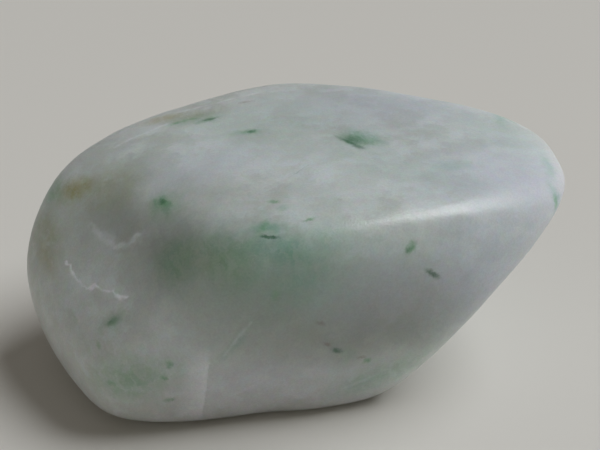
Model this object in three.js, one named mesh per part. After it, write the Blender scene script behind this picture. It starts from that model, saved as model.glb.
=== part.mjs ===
// A water-worn boulder of pale jadeite, small enough to fill a hand: one natural stone, one solid.
// Millimetres, +Z up. The stone rests on its worn base at z = 0, its long axis lies along X,
// and the origin is under the middle of the stone's bounding box.
import * as THREE from "three";
import { mergeVertices } from "three/addons/utils/BufferGeometryUtils.js";

// How high the heart lies over the base. The heart is the point inside the stone that every
// worn face is measured from.
const HEART_HEIGHT = 20;

// The faces that the river and the tumbling wore. Each is a shallow dish with its crown outwards:
// azimuth and elevation say which way it faces (0, 0 is +X; 90, 0 is +Y; elevation 90 is up),
// reach is the distance of its crown from the heart, dome is the radius of curvature there,
// and soft is how far it melts into its neighbours.
const WORN_FACES = [
  { name: "top", azimuth: -112, elevation: 86.2, reach: 19.9, dome: 400, soft: 1.7 },
  { name: "front", azimuth: -93, elevation: 0, reach: 27.3, dome: 200, soft: 1.6 },
  { name: "front edge", azimuth: -75, elevation: 26, reach: 37.4, dome: 2000, soft: 2.5 },
  { name: "undercut", azimuth: -14, elevation: -45, reach: 26.5, dome: 500, soft: 1.2 },
  { name: "base", azimuth: 0, elevation: -90, reach: 20.8, dome: 400, soft: 1.4 },
  { name: "left front", azimuth: -141, elevation: -2, reach: 43.9, dome: 60, soft: 2.5 },
  { name: "left shoulder", azimuth: -143, elevation: 44, reach: 28.0, dome: 700, soft: 3.5 },
  { name: "left slope", azimuth: 168, elevation: 42, reach: 51.0, dome: 80, soft: 2.5 },
  { name: "left end", azimuth: 176, elevation: 8, reach: 48.9, dome: 50, soft: 2.0 },
  { name: "lower left", azimuth: -166, elevation: -40, reach: 45.2, dome: 70, soft: 1.5 },
  { name: "back left top", azimuth: 121, elevation: 57, reach: 36, dome: 150, soft: 1.2 },
  { name: "back", azimuth: 56, elevation: 4, reach: 36.4, dome: 150, soft: 2.0 },
  { name: "rear", azimuth: 107, elevation: 0, reach: 30.8, dome: 160, soft: 2.5 },
  { name: "right end", azimuth: -5, elevation: 8, reach: 56, dome: 45, soft: 2.5 },
  { name: "lower front", azimuth: -95, elevation: -14, reach: 29.2, dome: 400, soft: 1.2 },
  { name: "lower back", azimuth: 90, elevation: -35, reach: 29, dome: 120, soft: 2.0 },
];

// Low swells and hollows left on the worn faces: a bump on the distance from the heart,
// with its height (negative for a hollow) in millimetres and its spread in degrees.
const SWELLS = [
  { name: "hollow under the front edge", azimuth: -112, elevation: -33, height: -0.7, spread: 10 },
  { name: "dip in the left end", azimuth: -163, elevation: 18, height: -0.7, spread: 14 },
  { name: "swell on the left flank", azimuth: -140, elevation: -14, height: 0.6, spread: 12 },
  { name: "dip in the front", azimuth: -78, elevation: 8, height: -0.5, spread: 16 },
  { name: "swell on top", azimuth: -60, elevation: 62, height: 0.3, spread: 16 },
  { name: "swell by the right end", azimuth: 12, elevation: 24, height: 0.9, spread: 9 },
  { name: "swell at the right tip", azimuth: -19, elevation: 9, height: 1.6, spread: 8 },
  { name: "dip on the back edge", azimuth: 64, elevation: 32, height: -0.6, spread: 12 },
  { name: "dip in the back", azimuth: 84, elevation: 2, height: -1.0, spread: 15 },
  { name: "swell on the back left", azimuth: 132, elevation: 10, height: 0.8, spread: 15 },
  { name: "dip in the undercut", azimuth: 10, elevation: -30, height: -0.8, spread: 12 },
];

// The triangle grid: an icosahedron split this many times, drawn out along X at first and then
// settled over the stone, so that triangles are even in size but closer together on the edges.
const GRID_DETAIL = 20;
const GRID_STRETCH = 1.5;
const SETTLING_ROUNDS = 30;
const EDGE_PULL = 2.5;

// The surface along a ray is found by halving a stretch this long, this many times.
const LONGEST_RAY = 80;
const SEARCH_STEPS = 32;

// Grid corners closer than this on the unit ball are one corner.
const MERGE_DISTANCE = 1e-5;

// The unit vector for an azimuth and an elevation in degrees.
function facing(azimuth, elevation) {
  const a = THREE.MathUtils.degToRad(azimuth);
  const e = THREE.MathUtils.degToRad(elevation);
  return new THREE.Vector3(Math.cos(a) * Math.cos(e), Math.sin(a) * Math.cos(e), Math.sin(e));
}

const FACES = WORN_FACES.map(({ azimuth, elevation, reach, dome, soft }) => ({
  normal: facing(azimuth, elevation),
  reach,
  dome,
  soft,
}));

const BUMPS = SWELLS.map(({ azimuth, elevation, height, spread }) => ({
  middle: facing(azimuth, elevation),
  height,
  spread: THREE.MathUtils.degToRad(spread),
}));

// Each face's share in the surface at a point measured from the heart. A point inside the stone
// has shares that add up to less than 1, a point on the surface exactly 1: on the middle of
// a face one share is nearly all of it, and on an edge two faces share it evenly.
function shares(point) {
  return FACES.map(({ normal, reach, dome, soft }) => {
    const along = point.dot(normal);
    const aside = point.lengthSq() - along * along;
    return Math.exp((along + aside / (2 * dome) - reach) / soft);
  });
}

function total(values) {
  return values.reduce((sum, value) => sum + value, 0);
}

// The point of the worn surface along a direction from the heart, measured from the heart.
// The swells move it in or out, and the base stops it.
function surfacePoint(direction) {
  let inside = 0;
  let outside = LONGEST_RAY;
  const probe = new THREE.Vector3();
  for (let step = 0; step < SEARCH_STEPS; step += 1) {
    const middle = (inside + outside) / 2;
    probe.copy(direction).multiplyScalar(middle);
    if (total(shares(probe)) < 1) inside = middle;
    else outside = middle;
  }
  let distance = (inside + outside) / 2;
  for (const { middle, height, spread } of BUMPS) {
    distance += height * Math.exp(-((direction.angleTo(middle) / spread) ** 2));
  }
  if (direction.z < 0) distance = Math.min(distance, HEART_HEIGHT / -direction.z);
  return probe.copy(direction).multiplyScalar(distance);
}

// How much a surface point lies on an edge: 0 on the middle of a face, towards 1 on a corner.
function edginess(point) {
  const parts = shares(point);
  const sum = total(parts);
  return 1 - total(parts.map((part) => (part / sum) ** 2));
}

// For each vertex of an indexed geometry, the vertices it shares an edge with.
function neighbours(geometry) {
  const index = geometry.getIndex();
  const rings = Array.from({ length: geometry.getAttribute("position").count }, () => new Set());
  for (let i = 0; i < index.count; i += 3) {
    const corners = [index.getX(i), index.getX(i + 1), index.getX(i + 2)];
    for (let k = 0; k < 3; k += 1) {
      rings[corners[k]].add(corners[(k + 1) % 3]);
      rings[corners[k]].add(corners[(k + 2) % 3]);
    }
  }
  return rings.map((ring) => [...ring]);
}

// The stone's closed surface, as a grid of triangles settled over it.
function stoneGeometry() {
  const ball = new THREE.IcosahedronGeometry(1, GRID_DETAIL);
  ball.deleteAttribute("normal");
  ball.deleteAttribute("uv");
  const geometry = mergeVertices(ball, MERGE_DISTANCE);
  const position = geometry.getAttribute("position");
  const rings = neighbours(geometry);

  let points = [];
  for (let i = 0; i < position.count; i += 1) {
    const direction = new THREE.Vector3().fromBufferAttribute(position, i);
    direction.x *= GRID_STRETCH;
    points.push(surfacePoint(direction.normalize()));
  }
  for (let round = 0; round < SETTLING_ROUNDS; round += 1) {
    const weights = points.map((point) => 1 + EDGE_PULL * edginess(point));
    points = rings.map((ring) => {
      const middle = new THREE.Vector3();
      for (const j of ring) middle.addScaledVector(points[j], weights[j]);
      return surfacePoint(middle.normalize());
    });
  }

  points.forEach((point, i) => position.setXYZ(i, point.x, point.y, point.z));
  geometry.computeBoundingBox();
  const middle = geometry.boundingBox.getCenter(new THREE.Vector3());
  geometry.translate(-middle.x, -middle.y, HEART_HEIGHT);
  geometry.computeVertexNormals();
  return geometry;
}

const jade = new THREE.MeshStandardMaterial({ color: 0xb9c4bf, roughness: 0.35, metalness: 0 });
const boulder = new THREE.Mesh(stoneGeometry(), jade);
boulder.name = "jade_boulder";

const stone = new THREE.Group();
stone.add(boulder);

export default stone;
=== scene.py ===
"""A raw jade boulder, worn smooth by water: the stone, its markings, and the plain table it rests on.

Lengths in the classes below are in millimetres unless a name or docstring says metres. Blender works in
metres, so they pass through MM on their way into a mesh, a light or the camera.
"""

import logging
import math
from dataclasses import dataclass, replace
from enum import Enum
from typing import Sequence

import bmesh
import bpy
from mathutils import Matrix, Vector, noise
from mathutils.bvhtree import BVHTree


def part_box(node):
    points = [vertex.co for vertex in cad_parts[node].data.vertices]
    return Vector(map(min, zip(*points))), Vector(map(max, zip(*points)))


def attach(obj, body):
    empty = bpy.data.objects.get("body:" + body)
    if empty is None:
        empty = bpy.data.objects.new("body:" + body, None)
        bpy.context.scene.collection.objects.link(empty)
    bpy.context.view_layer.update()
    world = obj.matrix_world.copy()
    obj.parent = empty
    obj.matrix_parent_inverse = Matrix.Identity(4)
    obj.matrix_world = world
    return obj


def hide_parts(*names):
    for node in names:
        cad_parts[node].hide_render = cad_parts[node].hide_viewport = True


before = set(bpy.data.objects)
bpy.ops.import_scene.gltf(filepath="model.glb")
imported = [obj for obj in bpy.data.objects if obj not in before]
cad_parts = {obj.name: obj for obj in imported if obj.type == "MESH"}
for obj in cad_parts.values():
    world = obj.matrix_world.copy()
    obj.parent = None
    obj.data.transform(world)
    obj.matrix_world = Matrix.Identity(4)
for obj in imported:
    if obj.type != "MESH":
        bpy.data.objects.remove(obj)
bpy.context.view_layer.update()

NODE = "jade_boulder"
MM = 0.001
CRACK_LAYER = "crack"
# The sockets of a node that mixes two colours: how much of the second, the two, and the result.
MIX_SHARE, MIX_UNDER, MIX_OVER, MIX_RESULT = 0, 6, 7, 2
# What a noise wanders about.
EVEN = (0.5, 0.5, 0.5)
LOG = logging.getLogger(NODE)

Triple = tuple[float, float, float]
Source = bpy.types.NodeSocket | float | Sequence[float]


class Tint(Enum):
    """Colours found in the stone, as linear red, green and blue. The smoky grey is also laid on as painted
    shade, and some pale marks as painted glow.
    """

    PALE = (0.60, 0.65, 0.64)
    ASH = (0.52, 0.56, 0.54)
    # partly the stone's own smoky tone, partly painted shade
    SMOKE_AND_SHADE = (0.25, 0.275, 0.25)
    SNOW = (0.71, 0.76, 0.79)
    LAVENDER = (0.58, 0.59, 0.705)
    SEA = (0.40, 0.56, 0.50)
    MOSS = (0.19, 0.38, 0.23)
    TEAL = (0.14, 0.38, 0.28)
    DEEP = (0.02, 0.13, 0.06)
    OLIVE = (0.30, 0.33, 0.15)
    OCHRE = (0.38, 0.33, 0.13)
    RUST = (0.20, 0.13, 0.10)
    CHALK = (0.82, 0.86, 0.91)

    @property
    def rgba(self) -> tuple[float, float, float, float]:
        """The colour with full alpha."""
        return (*self.value, 1.0)


@dataclass(frozen=True)
class Mark:
    """One soft-edged lens of colour that reaches the surface.

    at: its middle, which is drawn onto the nearest point of the stone.
    long, wide: half of its length and of its width on the surface.
    runs: the direction that its length follows, before it is laid on the surface.
    amount: how strongly it colours the stone, from 0 to 1.
    soft: how far its edge fades, as a share of its half size.
    deep: how far it reaches into the stone.
    """

    at: Triple
    long: float
    wide: float
    runs: Triple = (1.0, 0.0, 0.0)
    amount: float = 1.0
    soft: float = 0.7
    deep: float = 4.0


@dataclass(frozen=True)
class Bloom:
    """Marks of one colour, laid on together.

    tint: the colour.
    marks: the marks.
    torn: how much the fibres of the stone break the marks up, from 0 to 1.
    wander: how far the marks are pushed out of shape.
    feather: how far their edges are frayed.
    """

    tint: Tint
    marks: tuple[Mark, ...]
    torn: float = 0.5
    wander: float = 1.0
    feather: float = 0.0


@dataclass(frozen=True)
class Grain:
    """A noise that runs through the stone.

    scale: how many of its grains go to the millimetre.
    detail: how many finer layers it has.
    rough: how strong the finer layers are.
    turn, stretch: how its streaks are turned, in radians, and how they are drawn out, if it has any.
    """

    scale: float
    detail: float = 3.0
    rough: float = 0.55
    turn: Triple = (0.0, 0.0, 0.0)
    stretch: Triple | None = None


@dataclass(frozen=True)
class Crack:
    """A healed fracture that breaks the surface: a narrow groove with one lip higher than the other.

    path: the points that it follows.
    width: half of the groove's width.
    depth: how deep the groove is.
    step: how far the stone on its left side is worn below the right side.
    reach: how far from the groove that step fades out.
    chalk: how white its edges are, from 0 to 1.
    veil: how pale the stone is on the worn side, beside the groove.
    jag: how far the grain of the stone throws its line to and fro.
    """

    path: tuple[Triple, ...]
    width: float = 0.24
    depth: float = 0.12
    step: float = 0.08
    reach: float = 2.4
    chalk: float = 0.9
    veil: float = 0.0
    jag: float = 0.0

    def laid_on(self, skin: BVHTree) -> "Crack":
        """Draws the path onto the nearest points of the stone.

        Args:
            skin: the stone's surface.

        Returns:
            The same crack with its path on the surface.
        """
        spots = (skin.find_nearest(Vector(corner) * MM)[0] / MM for corner in self.path)
        return replace(self, path=tuple(tuple(spot) for spot in spots))

    def nearest(self, point: Vector) -> tuple[float, Vector, Vector]:
        """Finds the closest place on the path.

        Args:
            point: where to measure from, in millimetres.

        Returns:
            The distance, the offset from the path to the point, and the path's direction there.
        """
        best = (math.inf, Vector(), Vector((1, 0, 0)))
        corners = [Vector(corner) for corner in self.path]
        for start, end in zip(corners, corners[1:]):
            along = end - start
            share = max(0.0, min(1.0, (point - start).dot(along) / along.length_squared))
            offset = point - (start + along * share)
            if offset.length < best[0]:
                best = (offset.length, offset, along.normalized())
        return best


# Broad areas of colour. The smoky grey among them is partly painted shade, and a few pale marks on the
# right are partly painted glow.
REGIONS = (
    # Smoky grey: partly the stone's own tone, partly painted shade over the left shoulder, along the crease
    # where it turns to the front, and over the front, which face away from the light.
    Bloom(
        Tint.SMOKE_AND_SHADE,
        (
            Mark((-31, -6, 32.5), 9, 6, (0.7, -0.7, 0), 0.60, 0.9, 9),
            Mark((-23, -18, 31), 9, 7, (0.7, -0.7, 0), 0.70, 0.9, 9),
            Mark((-26, -1, 37.5), 7, 5, (1, 0.2, 0), 0.42, 0.9, 6),
            Mark((-20, -8, 37), 7, 4, (0.7, -0.7, 0), 0.36, 0.9, 6),
            Mark((-17, -24, 33), 9, 5, (1, -0.5, -0.3), 0.60, 0.9, 8),
            Mark((-12, -28, 27), 12, 8, (1, 0, -0.2), 0.75, 0.9, 9),
            Mark((4, -29, 21), 18, 8, (1, 0, 0), 0.78, 0.9, 9),
            Mark((6, -29, 10), 7, 4, (1, 0, 0.4), 0.30, 0.9, 7),
            Mark((-32, 8, 36), 7, 5, (1, 0.4, 0), 0.12, 0.9, 8),
            Mark((-13.5, 14, 40), 6, 2, (1, 0.1, 0), 0.30, 0.9, 6),
            Mark((5, -29, 27), 10, 5, (1, 0, 0), 0.30, 0.9, 8),
            Mark((10, 27, 20), 14, 8, (1, 0, 0.2), 0.40, 0.9, 9),
            Mark((30, 2, 22), 10, 8, (0, 1, 0.6), 0.30, 0.9, 9),
        ),
        torn=0.2,
        wander=3.0,
    ),
    Bloom(
        Tint.LAVENDER,
        (
            # these two are partly the stone's own lavender tone, partly painted glow where light comes
            # through the thin right end and the front below it
            Mark((38, -22, 34), 17, 13, (1, 0, 0), 0.85, 0.9, 14),
            Mark((29, -28, 27), 12, 11, (1, 0, 0), 0.80, 0.9, 12),
            Mark((-15, -3, 39), 9, 5, (1, 0.1, 0), 0.40, 0.9, 6),
            Mark((24, 10, 39), 18, 9, (1, -0.2, 0), 0.50, 0.9, 8),
            Mark((-30, 20, 28), 15, 9, (1, 0.4, 0), 0.50, 0.9, 10),
            Mark((22, 26, 20), 16, 10, (1, 0, 0.3), 0.60, 0.9, 10),
            Mark((-28, -25, 20), 8, 6, (1, 0, 0), 0.20, 0.9, 8),
            Mark((8, -29, 27), 11, 6, (1, 0, 0), 0.40, 0.9, 8),
            Mark((-14, -28, 10), 12, 5, (1, 0, 0), 0.40, 0.9, 8),
        ),
        torn=0.15,
        wander=3.0,
    ),
    Bloom(
        Tint.SEA,
        (
            Mark((-7, -28, 31), 14, 8, (1, 0, 0), 0.38, 0.9, 9),
            Mark((14, -12, 39), 18, 7, (0.7, -0.7, 0), 0.25, 0.9, 6),
            Mark((-4, 6, 40), 16, 8, (1, 0.2, 0), 0.25, 0.9, 6),
            Mark((-5, 28, 22), 20, 10, (1, 0, 0.2), 0.45, 0.9, 10),
            Mark((43, -8, 38), 9, 6, (0.4, -1, 0), 0.24, 0.9, 6),
        ),
        torn=0.3,
        wander=3.0,
    ),
    Bloom(
        Tint.SNOW,
        (
            Mark((0, -9, 39), 10, 6, (0.8, -0.5, 0), 0.70, 0.9, 5),
            Mark((10, -18, 39), 11, 4, (1, -0.2, 0), 0.55, 0.9, 5),
            Mark((22, -9, 39), 13, 7, (1, -0.2, 0), 0.55, 0.9, 6),
            Mark((-2, -22, 38), 6, 3, (1, -0.3, 0), 0.50, 0.9, 5),
            Mark((-16.5, 2.5, 39.5), 7, 4, (1, 0.1, 0), 0.60, 0.9, 5),
            # painted glow: pales the front below the right end, where light comes through the stone
            Mark((29, -28, 31), 10, 6, (1, 0, 0), 0.68, 0.9, 8),
            Mark((34, -4, 39), 12, 8, (1, -0.3, 0), 0.48, 0.9, 8),
            Mark((-8, -28, 8), 13, 4, (1, 0, 0), 0.50, 0.9, 5),
            Mark((-40, -12, 20), 14, 9, (0, 0.5, 1), 0.50, 0.9, 8),
            Mark((-33.5, -7, 29.5), 2.6, 1.2, (1, -0.8, 0), 0.45, 1.0, 3),
            Mark((-29.5, -11, 30.5), 2.2, 1.0, (1, 0, 0.8), 0.45, 1.0, 3),
        ),
        torn=0.5,
        wander=2.5,
    ),
)

CLOUDS = (
    Bloom(
        Tint.MOSS,
        (
            Mark((-24, -20, 31), 3.0, 2.6, (1, 0, 0), 0.55, 1.0),
            Mark((-16, -25, 33), 3.4, 3.0, (1, 0, -0.3), 0.50, 1.0),
            Mark((-19, -21, 34), 3.0, 1.6, (1, 0, 0), 0.35, 1.0),
            Mark((-33.5, -25.5, 13), 5.6, 3.2, (1, 0, 0.2), 0.62, 1.0),
            Mark((-34.5, -20, 21), 2.4, 1.5, (1, -0.4, 0.4), 0.30, 1.0),
            Mark((-27, -27, 15), 2.5, 2.2, (1, 0, 1), 0.40, 1.0),
            Mark((-37, -23, 12), 3.0, 2.4, (1, 0, 0), 0.40, 1.0),
            Mark((-23.5, -10, 36), 2.4, 2.0, (0.3, -1, 0), 0.55, 1.0),
            Mark((-13.5, 13, 40), 4.0, 1.5, (1, 0, 0), 0.40, 1.0),
            Mark((-7, 5, 40), 2.6, 1.0, (1, 0, 0), 0.45, 1.0),
            Mark((-41, 8, 32), 2.4, 1.8, (0.3, 1, 0), 0.60, 1.0),
            Mark((11, -29, 8), 4.5, 2.2, (1, 0, 0.4), 0.40, 1.0),
            Mark((2, -29, 14), 2.0, 1.5, (1, 0, -0.5), 0.30, 1.0),
            Mark((-10, 29, 24), 7.0, 4.0, (1, 0, 0.3), 0.45, 1.0),
            Mark((26, 22, 26), 5.0, 3.0, (1, 0, -0.5), 0.45, 1.0),
            Mark((36, -4, 22), 6.0, 3.0, (0, 1, 0.5), 0.35, 1.0),
        ),
        torn=0.5,
        wander=2.0,
        feather=0.8,
    ),
    Bloom(
        Tint.TEAL,
        (
            Mark((-10, -23.5, 36.5), 2.6, 1.1, (1, -0.3, 0), 0.55, 0.9),
            Mark((13, -2.5, 40), 3.2, 2.6, (0.8, -0.6, 0), 0.55, 1.0),
            Mark((-7.5, -27.5, 34.5), 4.6, 2.2, (1, 0, -0.3), 0.55, 1.0),
            Mark((-11.5, -26, 34.5), 1.6, 1.2, (1, 0, 0), 0.35, 1.0),
            Mark((-2, -27.5, 35.5), 4.0, 2.2, (1, 0, 0), 0.30, 1.0),
            Mark((-5, -29, 30), 5.0, 4.0, (1, 0, 0), 0.28, 1.0),
            Mark((4, -29, 6), 4.0, 2.2, (1, 0, 0.2), 0.35, 1.0),
            Mark((25, -15, 39), 2.6, 1.3, (1, 0, 0), 0.30, 1.0),
            Mark((42, -17, 37), 3.5, 0.9, (0.2, 1, 0), 0.35, 1.0),
            Mark((41, -24, 36), 2.4, 1.0, (0.1, -0.8, -0.6), 0.50, 1.0),
            Mark((42, 2, 38), 3.4, 1.0, (0.4, 1, 0), 0.45, 1.0),
            Mark((35, 10, 38), 4.0, 1.4, (1, -0.7, 0), 0.40, 1.0),
            Mark((-17, -28, 19), 2.8, 0.9, (-0.6, 0, -0.7), 0.30, 1.0),
            Mark((4, 27, 28), 4.0, 2.0, (1, 0, -0.4), 0.45, 1.0),
        ),
        torn=0.45,
        wander=1.6,
        feather=0.8,
    ),
    Bloom(
        Tint.OLIVE,
        (
            Mark((-37, 4, 33.5), 3.6, 2.2, (1, -0.5, 0), 0.65, 1.0),
            Mark((-32, 0, 34.5), 6.0, 3.6, (1, -0.4, 0), 0.38, 1.0),
            Mark((-43, 1, 27), 4.5, 2.4, (0, 1, 0), 0.50, 1.0),
            Mark((-19, -23, 32), 5.0, 2.6, (0.6, -0.6, 0), 0.18, 1.0),
            Mark((-14.5, 15, 40), 5.0, 1.5, (1, 0.1, 0), 0.36, 1.0),
            Mark((-43, 12, 20), 5.0, 3.0, (0, 1, 0.5), 0.40, 1.0),
        ),
        torn=0.45,
        wander=1.6,
        feather=0.8,
    ),
    Bloom(
        Tint.OCHRE,
        (
            Mark((-37, 4, 34), 1.9, 1.4, (1, -0.5, 0), 0.80, 1.0),
            Mark((-19.5, 16.5, 39.5), 3.0, 1.3, (1, 0.1, 0), 0.55, 1.0),
            Mark((-44, -2, 24), 4.0, 1.4, (0, 1, 0), 0.35, 1.0),
            Mark((-40, 14, 26), 3.0, 1.4, (0.5, 1, 0), 0.40, 1.0),
        ),
        torn=0.4,
        wander=1.4,
        feather=0.8,
    ),
)

DEPTHS_AND_SHADE = (
    # Dark green deep in the stone. Over the left shoulder and the front it also darkens the green clouds as
    # painted shade, matching the smoky grey under them.
    Bloom(
        Tint.DEEP,
        (
            Mark((-17, -24, 33), 6.0, 4.5, (1, -0.5, -0.3), 0.22, 1.0),
            Mark((-24, -19, 31), 5.0, 5.0, (1, -0.5, 0), 0.18, 1.0),
            Mark((-7, -28, 32), 5.0, 3.5, (1, 0, 0), 0.12, 1.0),
            Mark((-24, -11, 35), 2.8, 2.4, (1, -0.5, 0), 0.16, 1.0),
            Mark((-11, -26, 34.5), 2.2, 1.6, (1, 0, 0), 0.20, 1.0),
            Mark((-8, 28, 25), 6.0, 4.0, (1, 0, 0.3), 0.16, 1.0),
        ),
        torn=0.5,
        wander=2.0,
        feather=0.8,
    ),
    Bloom(
        Tint.RUST,
        (
            Mark((-12, 17.5, 40), 9.0, 2.0, (1, 0.15, 0), 0.16, 1.0),
            Mark((-33, 2, 35), 4.0, 2.0, (1, -0.4, 0), 0.10, 1.0),
            Mark((-29, -10, 31.5), 5.0, 3.5, (1, -0.6, 0), 0.12, 1.0),
            Mark((-43, 6, 22), 5.0, 3.0, (0, 1, 0.4), 0.10, 1.0),
        ),
        torn=0.5,
        wander=2.0,
        feather=0.8,
    ),
)

FLECKS = (
    Bloom(
        Tint.MOSS,
        (
            Mark((11.5, -3, 40), 2.4, 1.6, (0.8, -0.6, 0), 0.78, 0.9),
            Mark((13.5, -4, 40), 1.8, 1.1, (0.9, -0.4, 0), 0.55, 0.9),
            Mark((13, -1, 40), 1.4, 1.1, (1, 0.4, 0), 0.45, 1.0),
            Mark((-7.5, -18, 38), 1.0, 0.35, (1, -0.5, 0), 0.85, 0.7),
            Mark((-6.5, -20, 38), 0.8, 0.6, (1, -0.5, 0), 0.40, 0.9),
            Mark((-3, -24, 37), 0.9, 0.3, (1, 0.2, 0), 0.75, 0.8),
            Mark((-10.5, -23, 36.5), 1.5, 0.6, (0.6, 0.8, 0), 0.60, 0.8),
            Mark((-10, -29, 27.5), 0.8, 0.6, (0, 0, 1), 0.50, 0.8),
            Mark((-17, 13, 40), 1.5, 0.40, (1, 0.2, 0), 0.70, 0.8),
            Mark((-14.5, 13.5, 40), 1.3, 0.35, (1, -0.1, 0), 0.60, 0.8),
            Mark((-12.5, 12, 40), 1.6, 0.45, (1, 0.3, 0), 0.65, 0.8),
            Mark((-10.5, 13, 40), 1.1, 0.35, (1, 0, 0), 0.55, 0.8),
            Mark((-24, -9, 36), 1.35, 1.0, (0.6, -0.8, 0), 0.92, 0.7),
            Mark((-5.5, 5, 40), 1.2, 0.7, (1, 0, 0), 0.75, 0.9),
            Mark((-34.5, -19.5, 21), 1.2, 0.6, (1, -0.4, 0.6), 0.65, 0.9),
            Mark((-37.5, -20.5, 17.5), 0.7, 0.4, (1, 0, -0.8), 0.45, 0.9),
            Mark((12, -29, 33), 1.15, 0.68, (0.5, 0, 0.85), 0.82, 0.7),
            Mark((5.5, -29.5, 12), 0.7, 0.5, (1, 0, 0.4), 0.75, 0.7),
            Mark((-28, -26.5, 13.5), 0.7, 0.5, (1, 0, 0), 0.70, 0.7),
            Mark((-27, -26.5, 16), 0.6, 0.4, (0, 0, 1), 0.65, 0.7),
            Mark((-27.5, -26, 8.5), 0.9, 0.35, (1, 0, 0.2), 0.75, 0.7),
            Mark((-36, -23.5, 12), 0.9, 0.5, (1, 0, 0), 0.65, 0.7),
            Mark((41, -25.5, 35), 1.1, 0.5, (0.1, -0.7, -0.7), 0.70, 0.7),
            Mark((43, 1, 38), 1.8, 0.4, (0.4, -1, 0), 0.55, 0.7),
            Mark((-12, 29, 26), 1.5, 0.5, (1, 0, 0.5), 0.70, 0.7),
            Mark((8, 27, 14), 1.1, 0.5, (1, 0, -0.6), 0.65, 0.7),
            Mark((30, 18, 30), 1.6, 0.4, (1, 0, -0.8), 0.70, 0.7),
            Mark((33, -14, 20), 1.3, 0.5, (0, 1, 0.6), 0.65, 0.7),
            Mark((-30, 24, 12), 1.4, 0.6, (1, 0, 0.3), 0.65, 0.7),
        ),
        torn=0.45,
        wander=0.6,
        feather=1.1,
    ),
    Bloom(
        Tint.DEEP,
        (
            Mark((10, -3.5, 40), 2.2, 0.50, (0.53, -0.85, 0), 0.78, 0.8),
            Mark((11, -5.5, 40), 1.2, 0.6, (0.6, -0.8, 0), 0.60, 0.8),
            Mark((11, -3, 40), 1.9, 1.3, (0.6, -0.8, 0), 0.55, 1.0),
            Mark((-24, -9, 36), 0.6, 0.5, (0.6, -0.8, 0), 0.55, 0.8),
            Mark((-10, -25, 36), 1.3, 0.28, (1, -0.45, 0), 0.95, 0.6),
            Mark((-5.5, 5, 40), 0.6, 0.45, (1, 0, 0), 0.45, 0.8),
            Mark((-1, -11, 39.5), 2.6, 0.07, (0.84, 0.54, 0), 0.22, 0.9),
            Mark((-11.5, 12.5, 40), 1.2, 0.35, (1, 0.1, 0), 0.70, 0.7),
            Mark((16, -29.5, 27.5), 1.45, 0.42, (0.75, 0, -0.62), 0.78, 0.75),
            Mark((11.5, -29.5, 32.5), 0.7, 0.3, (0.5, 0, 0.85), 0.22, 0.8),
            Mark((0, -29.5, 15.5), 0.9, 0.5, (1, 0, -0.6), 0.70, 0.7),
            Mark((-35, -19.5, 21), 0.6, 0.3, (1, -0.4, 0.6), 0.22, 0.8),
            Mark((-12, 29, 26), 0.9, 0.3, (1, 0, 0.5), 0.60, 0.7),
            Mark((30, 18, 30), 1.0, 0.3, (1, 0, -0.8), 0.60, 0.7),
        ),
        torn=0.3,
        wander=0.4,
        feather=0.8,
    ),
    Bloom(
        Tint.RUST,
        (
            Mark((-3, -29.5, 21.5), 0.8, 0.35, (1, 0, -0.5), 0.45, 0.8),
            Mark((-1.5, -29.5, 17), 0.6, 0.3, (1, 0, -0.5), 0.45, 0.8),
            Mark((4.5, -29.5, 13), 0.8, 0.3, (1, 0, -0.2), 0.40, 0.8),
            Mark((-3.5, 17.5, 40), 1.0, 0.35, (1, 0.1, 0), 0.30, 0.9),
        ),
        torn=0.3,
        wander=0.6,
        feather=0.9,
    ),
    Bloom(
        Tint.CHALK,
        (
            Mark((-15, -28, 9), 2.2, 0.3, (1, 0, 0.5), 0.25, 0.9),
            Mark((4, -29, 7), 3.6, 0.3, (1, 0, 0.4), 0.20, 0.9),
        ),
        torn=0.15,
        wander=0.4,
        feather=0.3,
    ),
)

WORN = Bloom(
    Tint.PALE,
    (
        Mark((42, -20, 36), 12, 9, (1, 0, 0), 1.0, 0.9, 12),
        Mark((-42, 4, 28), 10, 8, (0, 1, 0), 0.6, 0.9, 9),
        Mark((-6, 28, 30), 12, 6, (1, 0, 0), 0.5, 0.9, 9),
    ),
    wander=2.5,
)

CRACKS = (
    Crack(
        (
            (-40.5, -5.5, 25),
            (-39.5, -9, 24),
            (-38, -12, 23),
            (-36.5, -12.5, 24),
            (-35.5, -14, 24),
            (-34, -15.5, 24.5),
            (-33, -17.5, 24),
            (-32, -18.5, 24.5),
        ),
        width=0.24,
        step=0.10,
        chalk=0.90,
        veil=0.10,
        jag=0.5,
    ),
    Crack(
        ((-35.5, -4, 30.5), (-34.5, -6.5, 30), (-34, -7.5, 29.5), (-33, -9, 29.5)),
        width=0.50,
        depth=0.03,
        step=0.04,
        chalk=0.28,
        jag=0.5,
    ),
    Crack(
        ((-32.5, -10, 29.5), (-30.5, -11, 30), (-28.5, -11, 31.5)),
        width=0.50,
        depth=0.03,
        step=0.04,
        chalk=0.34,
        jag=0.5,
    ),
    Crack(
        ((-14, -29, 23), (-16, -28.5, 20.5), (-18.5, -28, 17)),
        width=0.24,
        depth=0.05,
        step=0.04,
        chalk=0.18,
    ),
    Crack(
        ((-22, -25.5, 4.5), (-21.5, -27, 9.5), (-21, -27.5, 14.5)),
        width=0.20,
        depth=0.02,
        step=0.12,
        reach=4.6,
        chalk=0.0,
        veil=0.76,
    ),
    Crack(
        ((-29.5, 9.5, 38), (-24.5, 11.5, 39), (-19, 13.5, 39.5)),
        width=0.30,
        depth=0.01,
        step=0.0,
        chalk=0.30,
    ),
    Crack(
        ((-16.5, 18, 40), (-8.5, 19.5, 40), (0, 21.5, 40.5)),
        width=0.35,
        depth=0.01,
        step=0.0,
        chalk=0.30,
    ),
)


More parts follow.
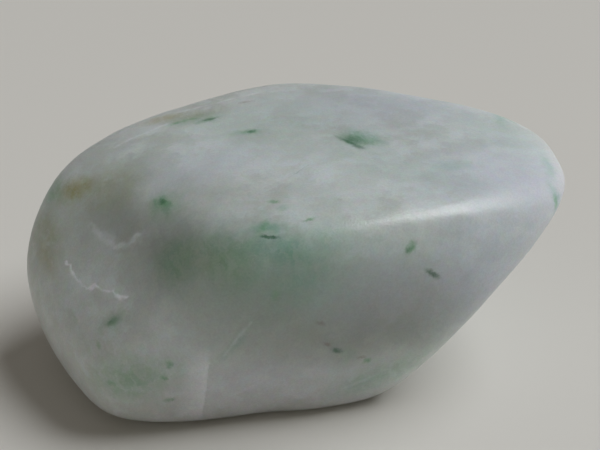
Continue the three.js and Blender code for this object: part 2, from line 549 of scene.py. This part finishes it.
class Bench:
    """Adds and joins the shader nodes of one material."""

    def __init__(self, material: bpy.types.Material) -> None:
        """Clears the material's own nodes.

        Args:
            material: the material to work on.
        """
        material.use_nodes = True
        self.tree = material.node_tree
        self.tree.nodes.clear()

    def add(self, kind: str, sources: dict[int | str, Source], **settings: object) -> bpy.types.Node:
        """Adds a node.

        Args:
            kind: the node's type, without its ShaderNode prefix.
            sources: what feeds each of its inputs, which is another node's output or a value.
            settings: the node's own properties.

        Returns:
            The new node.
        """
        node = self.tree.nodes.new("ShaderNode" + kind)
        for name, value in settings.items():
            setattr(node, name, value)
        for name, source in sources.items():
            if isinstance(source, bpy.types.NodeSocket):
                self.tree.links.new(source, node.inputs[name])
            else:
                node.inputs[name].default_value = source
        return node

    def sum_of(self, operation: str, *terms: Source) -> bpy.types.NodeSocket:
        """Joins two or three numbers by the Math node's named operation."""
        return self.add("Math", dict(enumerate(terms)), operation=operation).outputs[0]

    def move(self, operation: str, *terms: Source) -> bpy.types.NodeSocket:
        """Joins two vectors by the Vector Math node's named operation."""
        node = self.add("VectorMath", dict(enumerate(terms)), operation=operation)
        return node.outputs["Vector"]

    def ramp(
        self, value: Source, low: float, high: float, start: float = 0.0, end: float = 1.0
    ) -> bpy.types.NodeSocket:
        """Turns a number into a smooth rise from start to end as it goes from low to high."""
        sources = {"Value": value, "From Min": low, "From Max": high, "To Min": start, "To Max": end}
        return self.add("MapRange", sources, interpolation_type="SMOOTHSTEP").outputs[0]

    def grain(self, place: Source, grain: Grain) -> bpy.types.Node:
        """Adds a noise, drawn out into streaks if it has any."""
        if grain.stretch:
            streaks = {"Vector": place, "Rotation": grain.turn, "Scale": grain.stretch}
            place = self.add("Mapping", streaks).outputs[0]
        sources = {"Vector": place, "Scale": grain.scale, "Detail": grain.detail, "Roughness": grain.rough}
        return self.add("TexNoise", sources)

    def wander(self, place: Source, grain: Grain) -> bpy.types.NodeSocket:
        """Adds a noise whose three parts each wander about zero."""
        return self.move("SUBTRACT", self.grain(place, grain).outputs["Color"], EVEN)

    def stain(self, under: Source, over: Source, share: Source) -> bpy.types.NodeSocket:
        """Lays one colour over another."""
        node = self.add("Mix", {MIX_SHARE: share, MIX_UNDER: under, MIX_OVER: over}, data_type="RGBA")
        return node.outputs[MIX_RESULT]


@dataclass(frozen=True)
class Jadeite:
    """The finish of the stone: cloudy pale jade with green flecks and a waxy polish, with some painted
    shade and painted glow in its colour.

    wide, fine, frill: the noises that push the markings out of shape, from the broadest to the finest.
    wide_share: how strong the broadest is beside the fine one.
    drift: how far the ground's own pattern is pushed out of shape.
    cloud, mottle, fibre, crystal: the noises of the ground, from the broadest to the finest.
    peel: the noise of the polished skin.
    cloud_band, frost_band, tear_band, speck_band, shine_band: the levels of a noise between which its
        effect grows.
    frost: how strongly the mottling whitens the ground.
    thread, thread_width: how strongly thin threads tint it, and how much of the fibre noise they take up.
    speck: how dark and how bright the crystals are beside the stone round them.
    blush: how far red, green and blue wander apart in the fine mottling.
    polish: the roughness of the worn surface, where it is glossiest and where it is dullest.
    dulling: how much rougher it is where the polish is worn off.
    crack_dulling: how much rougher it is in a crack.
    grit: how high the crystals stand in the relief beside the peel.
    relief, relief_height: how strongly the relief bends the light, and how high it is.
    index: the stone's refractive index.
    glow: how much of the light goes through the stone rather than back from its surface.
    glow_reach: how far that light travels, in metres.
    glow_tint: how far red, green and blue travel beside each other.
    """

    wide: Grain = Grain(0.09, 2.0)
    fine: Grain = Grain(0.7, 4.0, 0.6)
    frill: Grain = Grain(1.7, 3.0, 0.6)
    wide_share: float = 1.6
    drift: float = 3.5
    cloud: Grain = Grain(0.08, 3.0, 0.5)
    mottle: Grain = Grain(0.30, 5.0, 0.5, turn=(0.0, 0.3, -0.5), stretch=(0.62, 1.0, 1.0))
    fibre: Grain = Grain(0.75, 4.0, 0.62, turn=(0.3, 0.2, 1.1), stretch=(1.0, 0.22, 0.7))
    crystal: Grain = Grain(3.2, 2.0, 0.6)
    peel: Grain = Grain(0.8, 2.0)
    cloud_band: tuple[float, float] = (0.38, 0.60)
    frost_band: tuple[float, float] = (0.44, 0.68)
    tear_band: tuple[float, float] = (0.36, 0.60)
    speck_band: tuple[float, float] = (0.30, 0.70)
    shine_band: tuple[float, float] = (0.35, 0.65)
    frost: float = 0.45
    thread: float = 0.09
    thread_width: float = 0.02
    speck: tuple[float, float] = (0.95, 1.04)
    blush: float = 0.2
    polish: tuple[float, float] = (0.28, 0.37)
    dulling: float = 0.42
    crack_dulling: float = 0.25
    grit: float = 0.9
    relief: float = 0.4
    relief_height: float = 0.1
    index: float = 1.6
    glow: float = 1.0
    glow_reach: float = 0.025
    glow_tint: Triple = (0.85, 1.0, 0.92)

    def lay(
        self, bench: Bench, place: Source, push: Source, frill: Source, bloom: Bloom, skin: BVHTree
    ) -> Source:
        """Adds up the marks of one bloom.

        Args:
            bench: the material's node bench.
            place: the position on the stone.
            push: a coarse noise that wanders about zero, of which the bloom takes its own share.
            frill: a fine noise of the same kind.
            bloom: the marks.
            skin: the stone's surface.

        Returns:
            How strongly each place is coloured.
        """
        wandering = bench.move("MULTIPLY_ADD", push, (bloom.wander,) * 3, place)
        wandering = bench.move("MULTIPLY_ADD", frill, (bloom.feather,) * 3, wandering)
        total: Source = 0.0
        for mark in bloom.marks:
            spot, outward, _, _ = skin.find_nearest(Vector(mark.at) * MM)
            side = outward.cross(Vector(mark.runs)).normalized()
            turn = Matrix((side.cross(outward), side, outward)).transposed().to_euler()
            edge = 1.0 + mark.soft
            sources = {
                "Vector": wandering,
                "Location": spot / MM,
                "Rotation": turn,
                "Scale": Vector((mark.long, mark.wide, mark.deep)) * edge,
            }
            lens = bench.add("Mapping", sources, vector_type="TEXTURE").outputs[0]
            inward = bench.add("TexGradient", {"Vector": lens}, gradient_type="SPHERICAL").outputs["Fac"]
            cover = bench.ramp(inward, 0.0, 2.0 * mark.soft / edge, 0.0, mark.amount)
            total = bench.sum_of("MAXIMUM", total, cover)
        return total

    def make(self, skin: BVHTree) -> bpy.types.Material:
        """Builds the material.

        Args:
            skin: the stone's surface, which the marks are laid on.

        Returns:
            The finished material.
        """
        material = bpy.data.materials.new("jade_polish")
        bench = Bench(material)
        place = bench.move("SCALE", bench.add("TexCoord", {}).outputs["Object"])
        place.node.inputs["Scale"].default_value = 1 / MM
        wide = bench.wander(place, self.wide)
        fine = bench.wander(place, self.fine)
        frill = bench.wander(place, self.frill)
        push = bench.move("MULTIPLY_ADD", wide, (self.wide_share,) * 3, fine)
        drift = bench.move("MULTIPLY_ADD", push, (self.drift,) * 3, place)
        cloud = bench.grain(drift, self.cloud).outputs["Fac"]
        mottle = bench.grain(drift, self.mottle).outputs["Fac"]
        fibre = bench.grain(drift, self.fibre).outputs["Fac"]
        crystal = bench.grain(place, self.crystal).outputs["Fac"]

        colour = bench.stain(Tint.ASH.rgba, Tint.PALE.rgba, bench.ramp(cloud, *self.cloud_band))
        colour = bench.stain(colour, Tint.SNOW.rgba, bench.ramp(mottle, *self.frost_band, 0.0, self.frost))
        # lays on each bloom of colour, the painted shade and painted glow among them
        for bloom in (*REGIONS, *CLOUDS, *DEPTHS_AND_SHADE, *FLECKS):
            tear = bench.ramp(mottle if bloom in REGIONS else fibre, *self.tear_band, 1.0 - bloom.torn, 1.0)
            share = bench.sum_of("MULTIPLY", self.lay(bench, place, push, frill, bloom, skin), tear)
            colour = bench.stain(colour, bloom.tint.rgba, share)
        from_middle = bench.sum_of("ABSOLUTE", bench.sum_of("SUBTRACT", fibre, EVEN[0]))
        threads = bench.ramp(from_middle, 0.0, self.thread_width, self.thread, 0.0)
        colour = bench.stain(colour, Tint.SEA.rgba, threads)
        crack = bench.add("Attribute", {}, attribute_name=CRACK_LAYER).outputs["Fac"]
        colour = bench.stain(colour, Tint.CHALK.rgba, crack)
        speck = bench.ramp(crystal, *self.speck_band, *self.speck)
        blush = bench.move("MULTIPLY_ADD", fine, (self.blush,) * 3, (1.0,) * 3)
        colour = bench.move("MULTIPLY", colour, blush)
        specks = bench.add("CombineXYZ", {0: speck, 1: speck, 2: speck}).outputs[0]
        colour = bench.move("MULTIPLY", colour, specks)

        shine = bench.ramp(mottle, *self.shine_band, *self.polish)
        worn = self.lay(bench, place, push, frill, WORN, skin)
        shine = bench.sum_of("MULTIPLY_ADD", worn, self.dulling, shine)
        shine = bench.sum_of("MULTIPLY_ADD", crack, self.crack_dulling, shine)
        peel = bench.grain(place, self.peel).outputs["Fac"]
        relief = bench.sum_of("MULTIPLY_ADD", crystal, self.grit, peel)
        bump = {"Strength": self.relief, "Distance": self.relief_height * MM, "Height": relief}
        skin_bump = bench.add("Bump", bump)
        shader = bench.add(
            "BsdfPrincipled",
            {
                "Base Color": colour,
                "Roughness": shine,
                "Normal": skin_bump.outputs[0],
                "IOR": self.index,
                "Subsurface Weight": self.glow,
                "Subsurface Scale": self.glow_reach,
                "Subsurface Radius": self.glow_tint,
            },
        )
        bench.add("OutputMaterial", {"Surface": shader.outputs[0]})
        return material


@dataclass
class Boulder:
    """The stone itself, grown and worn as one piece.

    weld: vertices nearer than this are one, in metres.
    rounds: how often the whole surface is split finer and eased.
    ease: how often each round is smoothed.
    swell, swell_span: the height of the shallow waves left in the surface, and how far apart they are.
    dent, dent_span: the same for the small dents.
    sole: how far above the base both reach their full height, as the base itself stays flat.
    layers: how fast the finer layers of both fall off, how much finer each is, and how many there are.
    crack_bands: how far from a crack the mesh is split finer, once for each.
    ragged: noises that vary the width of a crack, each as its strength and its rate.
    jag_rate: how many times a millimetre the grain throws a crack's line to and fro.
    """

    weld: float = 1e-6
    rounds: int = 2
    ease: int = 3
    swell: float = 0.22
    swell_span: float = 13.0
    dent: float = 0.035
    dent_span: float = 3.2
    sole: float = 3.0
    layers: tuple[float, float, int] = (1.0, 2.0, 2)
    crack_bands: tuple[float, ...] = (1.3, 0.8)
    ragged: tuple[tuple[float, float], ...] = ((0.6, 1.1), (0.5, 0.35))
    jag_rate: float = 0.9

    def refine(self, shape: bmesh.types.BMesh) -> None:
        """Splits the worn faces finer and rounds off what is left of their facets.

        Args:
            shape: the stone's mesh.
        """
        bmesh.ops.remove_doubles(shape, verts=shape.verts, dist=self.weld)
        for _ in range(self.rounds):
            bmesh.ops.subdivide_edges(shape, edges=shape.edges[:], cuts=1, use_grid_fill=True)
            for _ in range(self.ease):
                bmesh.ops.smooth_vert(
                    shape, verts=shape.verts, factor=0.5, use_axis_x=True, use_axis_y=True, use_axis_z=True
                )

    def refine_cracks(self, shape: bmesh.types.BMesh, cracks: Sequence[Crack]) -> None:
        """Splits the mesh finer along each crack, so that its groove is real.

        Args:
            shape: the stone's mesh.
            cracks: the cracks, laid on the surface.
        """
        for crack in cracks:
            for band in self.crack_bands:
                near = {v for v in shape.verts if crack.nearest(v.co / MM)[0] < band}
                edges = [e for e in shape.edges if e.verts[0] in near and e.verts[1] in near]
                bmesh.ops.subdivide_edges(shape, edges=edges, cuts=1, use_grid_fill=True)
        bmesh.ops.triangulate(shape, faces=[f for f in shape.faces if len(f.verts) > 3])

    def weather(self, shape: bmesh.types.BMesh, cracks: Sequence[Crack]) -> None:
        """Gives the surface its shallow waves, small dents and cracks, and notes where the cracks are.

        Args:
            shape: the stone's mesh.
            cracks: the cracks, laid on the surface.
        """
        layer = shape.verts.layers.float.new(CRACK_LAYER)
        shape.normal_update()
        moves: list[tuple[bmesh.types.BMVert, Vector]] = []
        for vert in shape.verts:
            point = vert.co / MM
            lift = self.swell * noise.fractal(point / self.swell_span, *self.layers)
            lift += self.dent * noise.fractal(point / self.dent_span, *self.layers)
            lift *= min(1.0, point.z / self.sole)
            shake = noise.noise_vector(point * self.jag_rate)
            shake -= shake.dot(vert.normal) * vert.normal
            for crack in cracks:
                away, offset, along = crack.nearest(point + crack.jag * shake)
                if away > crack.reach:
                    continue
                ragged = 1.0 + sum(share * noise.noise(point * rate) for share, rate in self.ragged)
                line = math.exp(-((away / (crack.width * ragged)) ** 2))
                side = along.cross(offset).dot(vert.normal)
                fade = 1.0 - away / crack.reach
                lift -= crack.depth * line
                pale = crack.chalk * line * ragged
                if side > 0:
                    beside = fade * min(1.0, away / crack.width)
                    lift -= crack.step * beside
                    pale = max(pale, crack.veil * beside)
                vert[layer] = max(vert[layer], min(1.0, pale))
            moves.append((vert, vert.normal * lift * MM))
        for vert, move in moves:
            vert.co += move

    def build(self) -> bpy.types.Object:
        """Makes the stone's piece from the CAD solid.

        Returns:
            The piece, dressed and riding on its body.
        """
        shape = bmesh.new()
        shape.from_mesh(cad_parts[NODE].data)
        self.refine(shape)
        skin = BVHTree.FromBMesh(shape)
        cracks = [crack.laid_on(skin) for crack in CRACKS]
        self.refine_cracks(shape, cracks)
        self.weather(shape, cracks)
        mesh = bpy.data.meshes.new("boulder_skin")
        shape.to_mesh(mesh)
        shape.free()
        mesh.shade_smooth()
        mesh.materials.append(Jadeite().make(skin))
        piece = bpy.data.objects.new("boulder_skin", mesh)
        bpy.context.scene.collection.objects.link(piece)
        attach(piece, "root")
        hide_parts(NODE)
        return piece


@dataclass
class Table:
    """The plain pale surface under the stone.

    radius: how far it reaches, in metres.
    corners: how many corners its outline has.
    colour: its colour.
    roughness: its roughness.
    """

    radius: float = 4.0
    corners: int = 64
    colour: Triple = (0.76, 0.74, 0.70)
    roughness: float = 0.6

    def build(self) -> bpy.types.Object:
        """Makes the table.

        Returns:
            The table's object.
        """
        shape = bmesh.new()
        bmesh.ops.create_circle(shape, cap_ends=True, segments=self.corners, radius=self.radius)
        mesh = bpy.data.meshes.new("table")
        shape.to_mesh(mesh)
        shape.free()
        material = bpy.data.materials.new("pale_table")
        bench = Bench(material)
        sources = {"Base Color": (*self.colour, 1.0), "Roughness": self.roughness}
        shader = bench.add("BsdfPrincipled", sources)
        bench.add("OutputMaterial", {"Surface": shader.outputs[0]})
        mesh.materials.append(material)
        table = bpy.data.objects.new("table", mesh)
        bpy.context.scene.collection.objects.link(table)
        return table


@dataclass(frozen=True)
class Daylight:
    """Light that comes from one side of the sky and is even over the whole table.

    name: what it is called.
    towards: the direction from the stone to the light.
    spread: how wide its source looks from the stone, in degrees.
    power: how strongly it lights a surface that faces it, in watts per square metre.
    colour: its colour.
    """

    name: str
    towards: Triple
    spread: float
    power: float
    colour: Triple

    def hang(self) -> bpy.types.Object:
        """Hangs the light.

        Returns:
            The light's object.
        """
        lamp = bpy.data.lights.new(self.name, "SUN")
        lamp.angle = math.radians(self.spread)
        lamp.energy, lamp.color = self.power, self.colour
        light = bpy.data.objects.new(self.name, lamp)
        light.rotation_euler = Vector(self.towards).to_track_quat("Z", "Y").to_euler()
        bpy.context.scene.collection.objects.link(light)
        return light


@dataclass
class Studio:
    """The plain soft light round the stone.

    sky: the colour and strength of the even light from all round.
    wall: the colour of the plain surroundings behind the table.
    lights: the lights that come from one side.
    """

    sky: Triple = (0.121, 0.113, 0.102)
    wall: Triple = (0.50, 0.49, 0.465)
    lights: tuple[Daylight, ...] = (
        Daylight("window", (0.60, 0.0, 0.80), 40.0, 2.05, (0.96, 0.985, 1.0)),
        Daylight("lamp", (-0.7, -0.6, 0.4), 60.0, 0.13, (1.0, 0.88, 0.70)),
    )

    def light(self) -> None:
        """Sets the even light and hangs the others."""
        world = bpy.data.worlds.new("studio")
        world.use_nodes = True
        tree = world.node_tree
        shade = tree.nodes.new("ShaderNodeMix")
        shade.data_type = "RGBA"
        shade.inputs[MIX_UNDER].default_value = (*self.sky, 1.0)
        shade.inputs[MIX_OVER].default_value = (*self.wall, 1.0)
        path = tree.nodes.new("ShaderNodeLightPath")
        tree.links.new(path.outputs["Is Camera Ray"], shade.inputs[MIX_SHARE])
        tree.links.new(shade.outputs[MIX_RESULT], tree.nodes["Background"].inputs["Color"])
        bpy.context.scene.world = world
        bpy.context.scene.view_settings.view_transform = "Standard"
        for daylight in self.lights:
            daylight.hang()


@dataclass
class Viewpoint:
    """Where the stone is looked at from.

    azimuth, elevation: the direction from the stone to the eye, in degrees.
    distance: how far off the eye is, in metres.
    aside: how far the point looked at is from the middle of the stone, in metres.
    lens, sensor: the focal length and the width of the sensor.
    near: how near to the eye things are still seen, in metres.
    """

    azimuth: float = -16.0
    elevation: float = 30.0
    distance: float = 0.190
    aside: Triple = (0.0033, 0.0038, -0.0002)
    lens: float = 60.0
    sensor: float = 36.0
    near: float = 0.01

    def place(self, middle: Vector) -> bpy.types.Object:
        """Sets up the camera.

        Args:
            middle: the middle of the stone, in metres.

        Returns:
            The camera's object.
        """
        across, up = math.radians(self.azimuth), math.radians(self.elevation)
        back = Vector((math.sin(across) * math.cos(up), -math.cos(across) * math.cos(up), math.sin(up)))
        lens = bpy.data.cameras.new("eye")
        lens.lens, lens.sensor_width = self.lens, self.sensor
        lens.clip_start = self.near
        eye = bpy.data.objects.new("eye", lens)
        eye.location = middle + Vector(self.aside) + back * self.distance
        eye.rotation_euler = back.to_track_quat("Z", "Y").to_euler()
        bpy.context.scene.collection.objects.link(eye)
        bpy.context.scene.camera = eye
        return eye


def main() -> None:
    """Builds the stone and its stage, and reports each piece."""
    logging.basicConfig(level=logging.INFO, format="%(name)s: %(message)s")
    low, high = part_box(NODE)
    middle = (low + high) / 2
    piece = Boulder().build()
    LOG.info("%s: %d faces, %s long", piece.name, len(piece.data.polygons), f"{high.x - low.x:.4f} m")
    Table().build()
    Studio().light()
    Viewpoint().place(middle)
    LOG.info("table, lights and eye in place")


if __name__ == "__main__":
    main()
